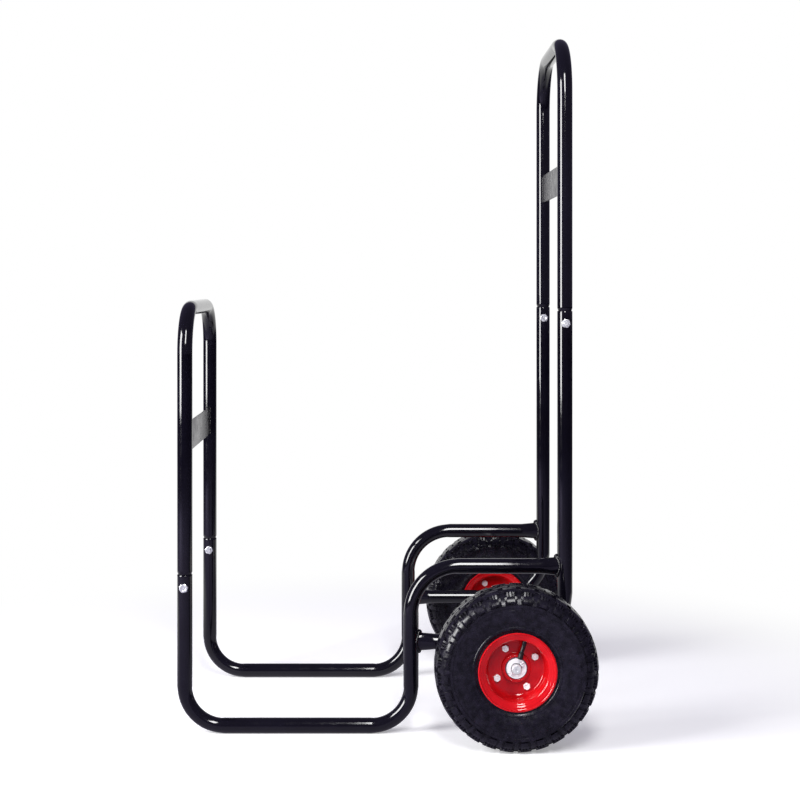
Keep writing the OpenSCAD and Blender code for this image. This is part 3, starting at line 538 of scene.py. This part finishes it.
plate = {"tall": 50.0, "thick": 3.0, "reach": 158.8, "edge": 0.7}  # reach to either side
plates = {
    "front": {"x": rack["frontX"], "z": 482.0, "inward": 1},
    "handle": {"x": rack["rearX"], "z": 914.0, "inward": -1},
}
seam = {"radius": 1.75, "ripple": 0.2, "pitch": 2.4, "phase": 0.6,
        "beside": 157.4, "proud": 0.2, "sway": 0.15, "wander": 1.1}


def rippled(length, radius=None, steps=4):  # radii along a bead of that length, with stacked ripples
    count = max(12, round(length / seam["pitch"])) * steps
    thick = radius or seam["radius"]
    return [thick + seam["ripple"] * sin(2 * pi * i / steps + seam["phase"]) for i in range(count)]


beads = bmesh.new()
for name, strip in plates.items():
    bm = bmesh.new()
    size = Matrix.Diagonal((plate["thick"], 2 * plate["reach"], plate["tall"], 1))
    bmesh.ops.create_cube(bm, size=1, matrix=Matrix.Translation((strip["x"], 0, strip["z"])) @ size)
    bmesh.ops.bevel(bm, geom=bm.edges[:], offset=plate["edge"], segments=3, profile=0.5,
                    affect="EDGES", material=-1)
    makePiece(name + "Plate", "frame", bm, plateEnamel, [name + "_plate"], sharp=50)
    for side in (-1, 1):
        radii = rippled(plate["tall"])
        top = plate["tall"] / 2 - seam["radius"]
        points = []
        for i in range(len(radii)):
            along = -top + 2 * top * i / (len(radii) - 1)
            sway = seam["sway"] * sin(along * seam["wander"])  # no hand-held torch runs quite straight
            points.append((strip["x"] + strip["inward"] * (plate["thick"] / 2 + seam["proud"]),
                           side * (seam["beside"] + sway), strip["z"] + along))
        addTo(beads, wire(points, radii))
makePiece("plateWelds", "frame", beads, weldEnamel, ["plate_welds"], sharp=60)

# The bead around a side bar's end is an oval; it is thickest on top of the bar, then below it
fillet = {"tall": 15.0, "wide": 8.9, "radius": 1.9, "crest": 3.4, "foot": 2.2, "focus": 6,
          "around": 80.1, "proud": 0.4}


def barBead(x, z, out):  # closed bead where a bar end meets its upright; out points along the bar
    radii = rippled(fillet["around"], fillet["radius"])
    points = []
    for i in range(len(radii)):
        turn = 2 * pi * i / len(radii)
        y = fillet["wide"] * cos(turn)
        lift = sqrt(rack["tube"] ** 2 - y * y) + fillet["proud"]
        radii[i] += fillet["crest" if turn < pi else "foot"] * abs(sin(turn)) ** fillet["focus"]
        points.append((x + out * lift, y, z + fillet["tall"] * sin(turn)))
    return wire(points, radii, closed=True)


for name, side in sides.items():
    bm = barBead(rack["rearX"], rack["barZ"], -1)
    addTo(bm, barBead(rack["stepX"], rack["lowBarZ"], 1))
    makePiece(name + "FrameWelds", "frame", bm, weldEnamel, [name + "_frame_welds"], toSide(side),
              sharp=60)

axle = {"x": 210.0, "z": 130.0, "radius": 8.0, "end": 270.5, "bevel": 1.0,
        "centre": 2.0, "centreDepth": 1.6}  # the drill mark in its faced ends
pool = {"radius": 5.6, "bead": 1.7}  # the weld between the axle and a lower side bar
bm = bmesh.new()
for side in (-1, 1):
    radii = rippled(2 * pi * pool["radius"], pool["bead"])
    points = []
    for i in range(len(radii)):
        u = pool["radius"] * cos(2 * pi * i / len(radii))
        v = pool["radius"] * sin(2 * pi * i / len(radii))
        low = axle["z"] + sqrt(axle["radius"] ** 2 - u * u)
        high = rack["lowBarZ"] - sqrt(rack["tube"] ** 2 - v * v)
        points.append((axle["x"] + u, side * rack["sideY"] + v, (low + high) / 2))
    addTo(bm, wire(points, radii, closed=True))
makePiece("axleWelds", "frame", bm, weldEnamel, ["axle_welds"], sharp=60)
print("plates and welds made")


# Shares of half the width across flats, and the slope of the chamfer on the corners
hexagon = {"floor": 0.52, "lip": 0.64, "face": 0.94, "neck": 0.97, "base": 0.95, "slope": 0.55}


def hexEdges(across):  # radius at the corners, radius at the flats, radius of the round face
    return across / sqrt(3), across / 2, across / 2 * hexagon["face"]


def hexBolt(size):  # head below z = 0, shank and thread above
    (corner, flat, face), r = hexEdges(size["across"]), size["radius"]
    top, tip, pitch = -size["head"], size["length"], size["pitch"]
    outline = [(0, top + size["dimple"]), (flat * hexagon["floor"], top + size["dimple"]),
               (flat * hexagon["lip"], top, 0.1), (face, top, 0.2),
               (corner, top + (corner - face) * hexagon["slope"]), (corner, -0.35, 0.1),
               (flat * hexagon["neck"], -0.3), (flat * hexagon["base"], 0), (r, 0),
               (r, tip - size["thread"])]
    crest = tip - size["thread"]
    while crest < tip - pitch * 1.3:  # each turn of the thread is a ring
        outline += [(r - size["root"], crest + pitch * 0.35), (r, crest + pitch)]
        crest += pitch
    outline += [(r - size["root"], tip), (0, tip)]
    return hexagonal(turned(outline, 48, closed=False, segments=3), size["across"])


def hexNut(size):  # stands on z = 0, its hole a little wider than the bolt
    (corner, flat, face), r = hexEdges(size["across"]), size["radius"] + 0.05
    rise, tall = (corner - face) * hexagon["slope"], size["nut"]
    outline = [(r, 0.5), (r + 0.5, 0), (face, 0, 0.2), (corner, rise), (corner, tall - rise),
               (face, tall, 0.2), (r + 0.6, tall), (r, tall - 0.5)]
    return hexagonal(turned(outline, 48, segments=3), size["across"])


jointBolt = {"across": 13.0, "radius": 4.0, "head": 5.3, "nut": 6.5, "length": 34.5, "thread": 5.0,
             "pitch": 1.25, "root": 0.55, "dimple": 0.7,
             "drop": 20.0, "turn": 18.0}  # distance below the seam, and degrees of spanner turn
joints = {
    "front": {"x": rack["frontX"], "z": rack["frontSeam"] - jointBolt["drop"], "inward": 1},
    "handle": {"x": rack["rearX"], "z": rack["rearSeam"] - jointBolt["drop"], "inward": -1},
}
boltShape, nutShape = hexBolt(jointBolt), hexNut(jointBolt)
for name, joint in joints.items():
    bolts, nuts = bmesh.new(), bmesh.new()
    for side in (-1, 1):
        place = Matrix.Translation((joint["x"], side * rack["sideY"], joint["z"])) \
            @ Matrix.Rotation(radians(side * joint["inward"] * 90), 4, "X") \
            @ Matrix.Rotation(radians(jointBolt["turn"]), 4, "Z") \
            @ Matrix.Translation((0, 0, -rack["tube"]))
        addTo(bolts, boltShape, place, keep=True)
        addTo(nuts, nutShape, place @ Matrix.Translation((0, 0, 2 * rack["tube"])), keep=True)
    makePiece(name + "JointBolts", "frame", bolts, zincPlate, [name + "_joint_bolts"], sharp=25)
    makePiece(name + "JointNuts", "frame", nuts, zincPlate, [name + "_joint_nuts"], sharp=25)
boltShape.free()
nutShape.free()
print("joint bolts made")


wheel = {"setout": 250.0}  # distance of its middle plane from the cart's
alongAxle = Matrix.Rotation(radians(90), 4, "X")  # turns +Z to -Y


def atWheel(side):  # wheel pieces are drawn outward along +Z from the wheel's middle plane
    flip = Matrix.Scale(side * -1, 4, axisY)
    return Matrix.Translation((axle["x"], side * wheel["setout"], axle["z"])) @ flip @ alongAxle


end, r = axle["end"], axle["radius"]
halfRod = [(0, end - axle["centreDepth"]), (axle["centre"], end, 0.2),
           (r - axle["bevel"], end, 0.2), (r, end - axle["bevel"], 0.2)]
bm = turned(halfRod + [(p[0], -p[1], *p[2:]) for p in reversed(halfRod)], 48, closed=False, segments=2)
makePiece("axleRod", "frame", bm, drawnSteel, ["axle"],
          Matrix.Translation((axle["x"], 0, axle["z"])) @ alongAxle)

# Heights along the axle, counted outward from the wheel's middle plane
hold = {"innerWasher": -48.8, "outerWasher": 9.8, "cotter": 13.9, "spacer": (-71.6, -49.1)}
disc = {"bore": 8.9, "radius": 16.0, "thick": 2.0, "edge": 0.4}
sleeve = {"bore": 8.3, "radius": 11.0, "edge": 0.6}


def roundRing(bore, radius, low, high, edge, steps=64):
    outline = [(bore, low, edge), (radius, low, edge), (radius, high, edge), (bore, high, edge)]
    return turned(outline, steps, segments=3)


pin = {"wire": 0.9, "eye": 2.7, "mouth": 160.0, "stand": 0.3,  # the eye's opening, its stand-off
       "leg": 6.2, "open": 24.0, "knee": 2.5, "turn": 36.0}  # length, spread and bend of the legs


def cotterWire():  # up one leg, through the axle, round the eye, and back
    gap, start = pin["wire"] * 0.98, axle["radius"] + pin["wire"]  # the legs are pressed together
    points = []
    for side in (-1, 1):
        leg = []
        for i in range(9):
            far = pin["leg"] * (1 - i / 8)
            bow = radians(pin["open"]) * min(1, far / pin["knee"])
            leg.append((-start - far * cos(bow), side * (gap + far * sin(bow)), 0))
        leg += [(start * (i / 4 * 1.96 - 1), side * gap, 0) for i in range(1, 5)]  # in the hole
        points.append(leg)
    centre = start + pin["eye"] + pin["stand"]
    loop = []
    for i in range(25):
        turn = radians(pin["mouth"] * (i / 12 - 1))
        loop.append((centre + pin["eye"] * cos(turn), pin["eye"] * sin(turn), 0))
    path = points[0] + loop + points[1][::-1]
    return wire(path, [pin["wire"]] * len(path))


for name, side in sides.items():
    place = atWheel(side)
    for which in ("outer", "inner"):
        low = hold[which + "Washer"]
        bm = roundRing(disc["bore"], disc["radius"], low, low + disc["thick"], disc["edge"])
        nodes = [name + "_" + which + "_washer"]
        makePiece(name + which.capitalize() + "Washer", "frame", bm, zincBloom, nodes, place)
    bm = roundRing(sleeve["bore"], sleeve["radius"], *hold["spacer"], sleeve["edge"])
    makePiece(name + "Spacer", "frame", bm, drawnSteel, [name + "_spacer"], place)
    hole = place @ Matrix.Translation((0, 0, hold["cotter"])) \
        @ Matrix.Rotation(radians(pin["turn"]), 4, "Z")
    makePiece(name + "CotterPin", "frame", cotterWire(), zincPlate, [name + "_cotter_pin"], hole,
              sharp=40)
print("axle fittings made")


def stops(spans, wall, last, longest):  # lines of a grid, with a pair of them at each carved wall
    marks = {0.0, last}
    for first, second in spans:
        marks |= {m for m in (first - wall, first, second, second + wall) if 0 < m < last}
    lines = [0.0]
    for mark in sorted(marks)[1:]:
        gap = mark - lines[-1]
        if gap > wall * 0.3:  # closer marks count as one
            parts = ceil(gap / longest)
            lines += [lines[-1] + gap * i / parts for i in range(1, parts)] + [mark]
    return lines


tyre = {
    "radius": 130.0, "half": 42.0, "belly": 98.0, "power": 3.5,  # crown and shoulder, a superellipse
    "foot": 63.1, "drop": 9.0, "footPower": 1.8,  # side wall below the belly
    "turn": 34.0,  # down from the crown line, where it goes on by radius
    "pitches": 28, "clicks": 24.0,  # repeats of the tread, and the units that one is drawn in
    "zigzag": 2.0, "corner": 4.0, "calm": 23.0, "fade": 6.0,  # the grooves' swing, where it dies out
    "middle": 10.0, "reach": 6.0,  # middle of a lug and half its length, in clicks
    "wall": 0.3, "rowGap": 6.6, "clickGap": 4.8,  # lean of a carved wall, longest cells of the grid
}
beadAndCavity = [(63.0, 31.6), (52.0, 29.4), (50.7, 28.2), (50.7, 18.0), (59.0, 18.0), (62.0, 21.0),
                 (77.0, 32.0), (91.0, 37.0), (105.0, 37.0), (116.0, 30.0), (121.0, 9.0), (121.0, 0.0)]


def onSection(down):  # place on the smooth section, down millimetres from the crown line
    t = tyre
    rise = t["radius"] - t["belly"]
    if down <= t["turn"]:
        return t["belly"] + rise * (1 - (down / t["half"]) ** t["power"]) ** (1 / t["power"]), down
    r = onSection(t["turn"])[0] - (down - t["turn"])
    if r >= t["belly"]:
        return r, t["half"] * (1 - ((r - t["belly"]) / rise) ** t["power"]) ** (1 / t["power"])
    return r, t["half"] - t["drop"] * ((t["belly"] - r) / (t["belly"] - t["foot"])) ** t["footPower"]


def downTo(radius):  # the same measure for a radius on the side wall
    return tyre["turn"] + onSection(tyre["turn"])[0] - radius


foot = downTo(tyre["foot"])
crown, shoulder, hem = (1.5, 11.5), (14.5, 23.4), (24.6, downTo(107.6))
# Clicks along one pitch, millimetres down the section, depth at both ends; a later line wins. The bow
# at a line's end lowers it away from the lug's middle
carving = [
    (0.0, 24.0, 0.0, crown[0], 3.0, 3.0),  # centre groove
    (0.0, 24.0, crown[1], shoulder[0], 3.0, 3.0),  # zigzag groove
    (8.8, 11.2, *crown, 2.6, 2.6),  # cross grooves between the blocks
    (19.0, 24.0, *shoulder, 2.8, 2.8), (0.0, 1.0, *shoulder, 2.8, 2.8),
    (0.0, 24.0, shoulder[1], hem[0], 1.8, 1.8),  # slit between blocks and lugs
    (0.0, 24.0, 31.5, 37.0, 3.9, 3.5),  # flank, with three ramps down it
    (4.8, 7.2, 31.5, 37.0, 0.0, 3.3, 0.34), (8.8, 11.2, 31.5, 37.0, 0.0, 3.3, 0.34),
    (12.8, 15.2, 31.5, 37.0, 0.0, 3.3, 0.34),
    (4.0, 16.0, 37.0, 46.0, 2.6, 0.0),  # sloping upper half of the lug
    (19.0, 24.0, hem[0], 37.0, 3.0, 4.2), (0.0, 1.0, hem[0], 37.0, 3.0, 4.2),  # ties between the lugs
    (19.0, 24.0, 37.0, hem[1], 4.2, 0.4), (0.0, 1.0, 37.0, hem[1], 4.2, 0.4),
    (1.0, 4.0, 37.0, hem[1], 3.4, 3.8), (16.0, 19.0, 37.0, hem[1], 3.4, 3.8),  # groove around a lug
    (4.0, 16.0, downTo(109.6), hem[1], 3.6, 3.6),
    (0.0, 24.0, downTo(107.0), downTo(102.4), 0.6, 0.8),  # second row of bars
    (0.0, 24.0, downTo(102.4), foot, 1.6, 1.6),  # side wall
    (4.8, 15.2, downTo(98.8), downTo(96.8), 0.6, 0.6),  # raised dashes
    (0.0, 24.0, downTo(70.4), downTo(69.4), 1.0, 0.7),  # rim guard
    (0.0, 24.0, downTo(69.4), downTo(67.0), 0.7, 0.7),
    (0.0, 24.0, downTo(67.0), downTo(66.0), 0.7, 1.0),
]


def depthAt(click, down):
    depth = 0.0
    for first, last, start, stop, top, low, *bow in carving:
        if first - 1e-6 <= click <= last + 1e-6 and start - 1e-6 <= down <= stop + 1e-6:
            depth = top + (low - top) * (down - start) / (stop - start)
            for drop in bow:
                depth += drop * ((click - tyre["middle"]) / tyre["reach"]) ** 2
    return depth


def carved(click, down):  # place on the moulded section
    probe = 0.05  # the section's slope is taken over this much to both sides
    ahead, behind = onSection(min(down + probe, foot)), onSection(max(down - probe, 0))
    dr, dz = ahead[0] - behind[0], ahead[1] - behind[1]
    long = hypot(dr, dz)
    depth = depthAt(click % tyre["clicks"], down)
    r, z = onSection(down)
    r, z = r - depth * dz / long, z + depth * dr / long
    phase = (click - tyre["corner"]) / tyre["clicks"] % 1
    swing = min(1.0, max(0.0, (tyre["calm"] - down) / tyre["fade"]))
    return r, z + tyre["zigzag"] * (1 - 4 * min(phase, 1 - phase)) * swing


def tyreShape():
    rows = stops([c[2:4] for c in carving], tyre["wall"], foot, tyre["rowGap"])
    clicks = stops([c[0:2] for c in carving], tyre["wall"], tyre["clicks"], tyre["clickGap"])
    bm = bmesh.new()
    mark = bm.verts.layers.int.new("row")
    section = [onSection(down) for down in rows] + beadAndCavity
    verts = []
    for i, (r, z) in enumerate(section):
        verts.append(bm.verts.new((r, 0, z)))
        verts[-1][mark] = i
    for first, second in zip(verts, verts[1:] + verts[:1]):  # closed at the mould's parting line
        bm.edges.new((first, second))
    pitch = 2 * pi / tyre["pitches"]
    step = pitch / (len(clicks) - 1)
    bmesh.ops.spin(bm, geom=bm.verts[:] + bm.edges[:], cent=(0, 0, 0), axis=(0, 0, 1),
                   angle=pitch, steps=len(clicks) - 1)
    for vert in bm.verts:
        click = clicks[round(atan2(vert.co.y, vert.co.x) / step)]
        row = vert[mark]
        r, z = carved(click, rows[row]) if row < len(rows) else section[row]
        turn = pitch * click / tyre["clicks"]
        vert.co = (r * cos(turn), r * sin(turn), z)
    half = bmesh.new()
    for i in range(tyre["pitches"]):
        addTo(half, bm, Matrix.Rotation(pitch * i, 4, "Z"), keep=True)
    bm.free()
    bmesh.ops.remove_doubles(half, verts=half.verts[:], dist=1e-3)
    bmesh.ops.recalc_face_normals(half, faces=half.faces[:])
    shift = Matrix.Rotation(pitch / 2, 4, "Z")  # half a pitch, so the zigzags of both halves meet
    addTo(half, half, shift @ Matrix.Scale(-1, 4, axisZ), keep=True)
    return half


rim = {"sheet": 2.0, "circle": 34.5, "first": 29.5, "count": 4,  # sheet, then the circle of its bolts
       "turn": 20.0, "drift": 37.0}  # spanner turn of the first bolt, and how much each next one adds
rimLine = [  # collar, dished centre, seat with two rolled grooves, flange
    (21.5, 8.5), (21.5, 1.0, 3.0), (44.0, 1.0, 3.2), (48.6, 7.0, 3.2), (49.3, 11.0, 0.8),
    (48.4, 12.4, 0.9), (48.4, 14.0, 0.9), (49.3, 15.4, 0.9), (49.3, 18.6, 0.9), (48.5, 19.8, 0.9),
    (48.5, 21.4, 0.9), (49.3, 22.6, 0.9), (49.3, 29.4, 3.4), (54.5, 31.0, 1.5), (56.0, 32.2, 1.5),
    (60.7, 33.1, 3.0), (61.3, 36.0),
]


def rimShape():
    bm = turned(rimLine, 144, closed=False, segments=5)
    bm.normal_update()
    for vert in bm.verts:  # half the sheet lies on either side of the line
        vert.co += vert.normal * rim["sheet"] / 2
    bmesh.ops.solidify(bm, geom=bm.faces[:], thickness=rim["sheet"])
    return bm


hub = {"radius": 20.5, "out": 10.0, "length": 57.0, "bore": 14.5,  # out is its outer end
       "seat": 17.52, "seatDepth": 11.5, "seatFlare": 0.1}
collar = {"height": 8.7, "proud": 0.8, "bead": 0.95}  # ring welds between the hub and both rim halves
bearing = {"bore": 8.05, "radius": 17.5, "width": 11.0, "inset": 0.5, "race": 3.0, "sink": 0.6}


def hubShape():
    top, low, s = hub["out"], hub["out"] - hub["length"], hub["seatDepth"]
    mouth, around = hub["seat"] + hub["seatFlare"], hub["radius"] + collar["proud"]
    bm = turned([(hub["radius"], low, 0.8), (hub["radius"], top, 0.8), (mouth, top, 0.4),
                 (hub["seat"], top - s), (hub["bore"], top - s, 0.3), (hub["bore"], low + s, 0.3),
                 (hub["seat"], low + s), (mouth, low, 0.4)], 96, segments=3)
    radii = rippled(2 * pi * around, collar["bead"])
    for height in (collar["height"], -collar["height"]):
        turns = [2 * pi * i / len(radii) for i in range(len(radii))]
        path = [(around * cos(turn), around * sin(turn), height) for turn in turns]
        addTo(bm, wire(path, radii, closed=True))
    return bm


def bearingShape(low):  # two races with a pressed shield between them, sunk a little
    b, top = bearing, low + bearing["width"]
    inner, outer, shield = b["bore"] + b["race"], b["radius"] - b["race"], top - b["sink"]
    upper = [(b["bore"], top, 0.5), (inner, top, 0.3), (inner + 0.1, shield), (inner + 0.7, shield),
             (inner + 1.0, shield + 0.3), (outer - 0.9, shield + 0.3), (outer - 0.6, shield),
             (outer, shield), (outer, top, 0.3), (b["radius"], top, 0.6)]
    lower = [(p[0], low + top - p[1], *p[2:]) for p in reversed(upper)]
    return turned(upper + lower, 64, segments=3)


rimBolt = {"across": 10.0, "radius": 3.0, "head": 4.0, "nut": 5.0, "length": 10.5, "thread": 3.5,
           "pitch": 1.0, "root": 0.45, "dimple": 0.9}
valve = {
    "angle": 74.0, "out": 18.0,  # round the wheel, and outward from its middle plane
    "foot": 50.6, "tip": 17.0,  # radii of the wheel where the stem leaves the rim and the cap ends
    "cap": 10.0, "grip": 4.4, "ribs": 18, "ribDepth": 0.05,  # the last is a share of the radius
}


def boltRing(shape, height):  # above the middle plane the shape is turned over, head outward
    bm = bmesh.new()
    for i in range(rim["count"]):
        turn = Matrix.Rotation(radians(rim["first"] + i * 360 / rim["count"]), 4, "Z")
        spot = Matrix.Translation((rim["circle"], 0, height)) \
            @ Matrix.Rotation(radians(rim["turn"] + rim["drift"] * i), 4, "Z")
        if height > 0:
            spot = spot @ Matrix.Rotation(radians(180), 4, "X")
        addTo(bm, shape, turn @ spot, keep=True)
    shape.free()
    return bm


def stemShape():
    root, brim = valve["foot"], valve["tip"] + valve["cap"]
    return turned([(0, brim - 5), (2.5, brim - 5, 0.3), (2.5, brim + 0.2), (3.3, brim + 0.3, 0.3),
                   (3.3, brim + 4, 0.5), (3.15, brim + 4.6), (3.5, 42.0, 0.8), (3.8, 44.5, 0.8),
                   (3.8, root), (0, root)], 40, closed=False)


def capShape():
    tip, brim, r = valve["tip"], valve["tip"] + valve["cap"], valve["grip"]
    bm = turned([(0, tip + 0.3), (2.6, tip, 0.4), (3.7, tip + 0.4, 0.4), (r - 0.1, tip + 1.6, 0.3),
                 (r - 0.1, tip + 2.2), (r, tip + 2.6), (r, brim - 2.2), (r - 0.25, brim - 1.8),
                 (r - 0.1, brim, 0.4), (2.55, brim, 0.3), (2.55, tip + 5), (0, tip + 5)],
                72, closed=False)
    for vert in bm.verts:  # grip ribs
        if tip + 2.3 < vert.co.z < brim - 1.9 and hypot(vert.co.x, vert.co.y) > r - 0.4:
            rib = cos(valve["ribs"] * atan2(vert.co.y, vert.co.x))
            ease = valve["ribDepth"] * (0.5 + 0.5 * rib)
            vert.co.x *= 1 - ease
            vert.co.y *= 1 - ease
    return bm


treadShape = tyreShape()
print("tread carved:", len(treadShape.faces), "faces")
for name, side in sides.items():
    place, body = atWheel(side), name + "_wheel"
    makePiece(name + "Tyre", body, treadShape.copy(), tyreRubber, [name + "_tyre"], place,
              sharp=34, tidy=False)  # tidy would weld the two halves at the parting line
    makePiece(name + "OuterRim", body, rimShape(), redEnamel, [name + "_outer_rim"], place, sharp=50)
    makePiece(name + "InnerRim", body, rimShape(), redEnamel, [name + "_inner_rim"],
              place @ Matrix.Scale(-1, 4, axisZ), sharp=50)
    makePiece(name + "Hub", body, hubShape(), redEnamel, [name + "_hub"], place, sharp=35)
    bm = bearingShape(hub["out"] - bearing["inset"] - bearing["width"])
    makePiece(name + "OuterBearing", body, bm, bearingSteel, [name + "_outer_bearing"], place)
    bm = bearingShape(hub["out"] - hub["length"] + bearing["inset"])
    makePiece(name + "InnerBearing", body, bm, bearingSteel, [name + "_inner_bearing"], place)
    bm = boltRing(hexBolt(rimBolt), rim["sheet"])
    makePiece(name + "RimBolts", body, bm, zincBloom, [name + "_rim_bolts"], place, sharp=25)
    bm = boltRing(hexNut(rimBolt), -rim["sheet"] - rimBolt["nut"])
    makePiece(name + "RimNuts", body, bm, zincBloom, [name + "_rim_nuts"], place, sharp=25)
    along = place @ Matrix.Rotation(radians(valve["angle"]), 4, "Z") \
        @ Matrix.Translation((0, 0, valve["out"])) @ Matrix.Rotation(radians(90), 4, "Y")
    makePiece(name + "ValveStem", body, stemShape(), valveRubber, [name + "_valve_stem"], along,
              sharp=35)
    makePiece(name + "ValveCap", body, capShape(), capPlastic, [name + "_valve_cap"], along,
              sharp=35)
    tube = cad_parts[name + "_inner_tube"]  # hidden in the tyre, so the CAD shape will do
    for spot in tube.material_slots:
        spot.material = valveRubber["material"]
treadShape.free()
print("wheels made")
